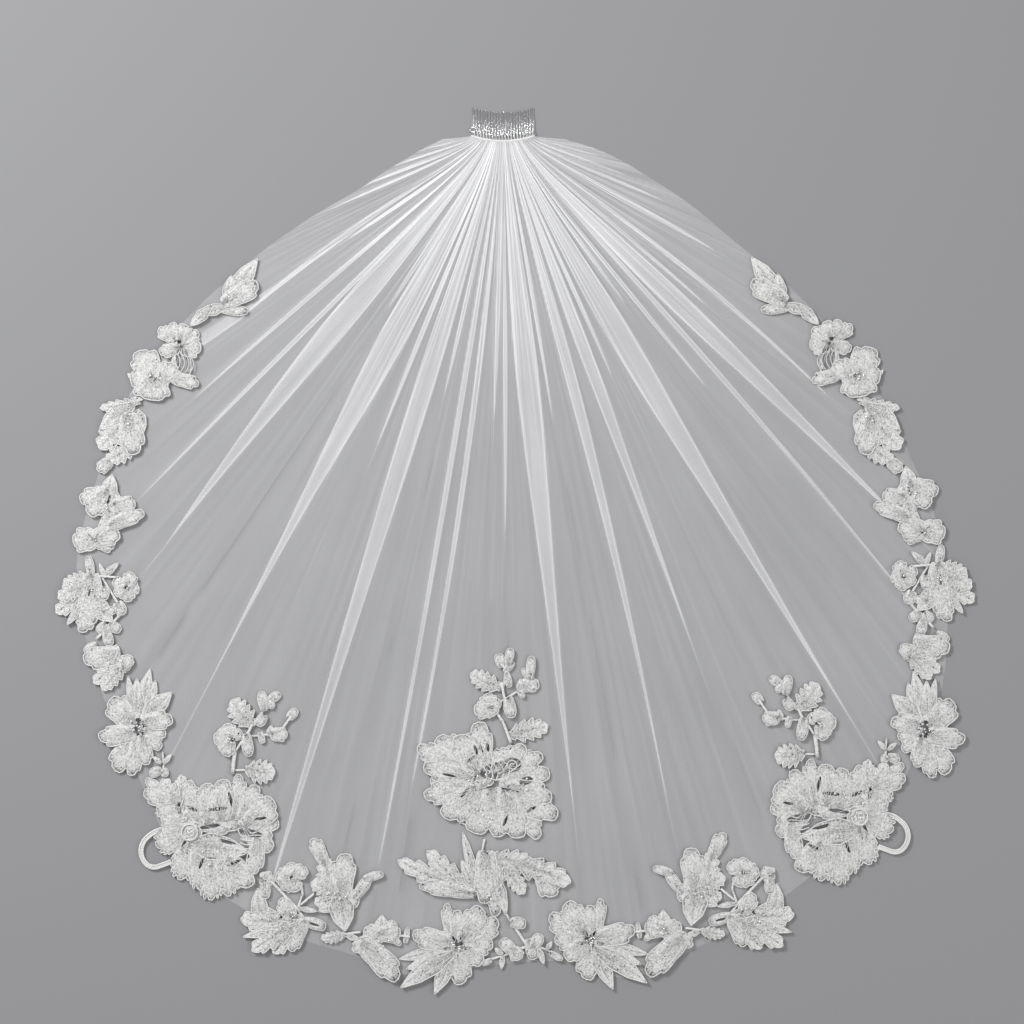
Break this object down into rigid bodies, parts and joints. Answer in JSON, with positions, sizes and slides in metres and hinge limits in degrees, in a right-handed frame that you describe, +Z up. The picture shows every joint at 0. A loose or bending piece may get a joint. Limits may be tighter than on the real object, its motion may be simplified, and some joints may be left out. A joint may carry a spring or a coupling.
{
  "type": "bridal veil",
  "caption": "Bridal veil laid flat: a fan of gathered soft tulle on a wire comb, with corded lace flowers, leaves and bouquets along its hem.",
  "frame": {"origin": "middle of the veil's footprint, on the surface that it lies on", "axes": "+X to the right and +Y from the hem towards the comb as the veil lies, +Z up from the surface"},
  "size_m": [1.1472, 1.1081, 0.0064],
  "materials": {
    "tulle": "soft white nylon tulle, one sheer layer, doubled at its folds",
    "lace": "white corded lace with stitched fill, beads and sequins",
    "binding": "white bias strip stitched over the gathers",
    "comb_wire": "bright silver-plated wire"
  },
  "bodies": {
    "root": {"tulle_panel": "tulle", "heading_binding": "binding", "comb_spine": "comb_wire", "comb_teeth": "comb_wire", "lace_centre_rose": "lace", "lace_centre_sprig": "lace", "lace_centre_leaves": "lace", "lace_leaf_spray_left": "lace", "lace_leaf_spray_right": "lace", "lace_blossom_pair_left": "lace", "lace_blossom_pair_right": "lace", "lace_bud_and_leaves_left": "lace", "lace_bud_and_leaves_right": "lace", "lace_rose_left": "lace", "lace_rose_right": "lace", "lace_spray_left": "lace", "lace_spray_right": "lace", "lace_leaf_pair_left": "lace", "lace_leaf_pair_right": "lace", "lace_lily_left": "lace", "lace_lily_right": "lace", "lace_sprig_left": "lace", "lace_sprig_right": "lace", "lace_bouquet_left": "lace", "lace_bouquet_right": "lace", "lace_bouquet_sprig_left": "lace", "lace_bouquet_sprig_right": "lace", "lace_hem_leaf_left": "lace", "lace_hem_leaf_right": "lace", "lace_tulip_left": "lace", "lace_tulip_right": "lace", "lace_small_leaf_left": "lace", "lace_small_leaf_right": "lace", "lace_bud_leaf_left": "lace", "lace_bud_leaf_right": "lace", "lace_hem_flower_left": "lace", "lace_hem_flower_right": "lace"}
  },
  "joints": []
}
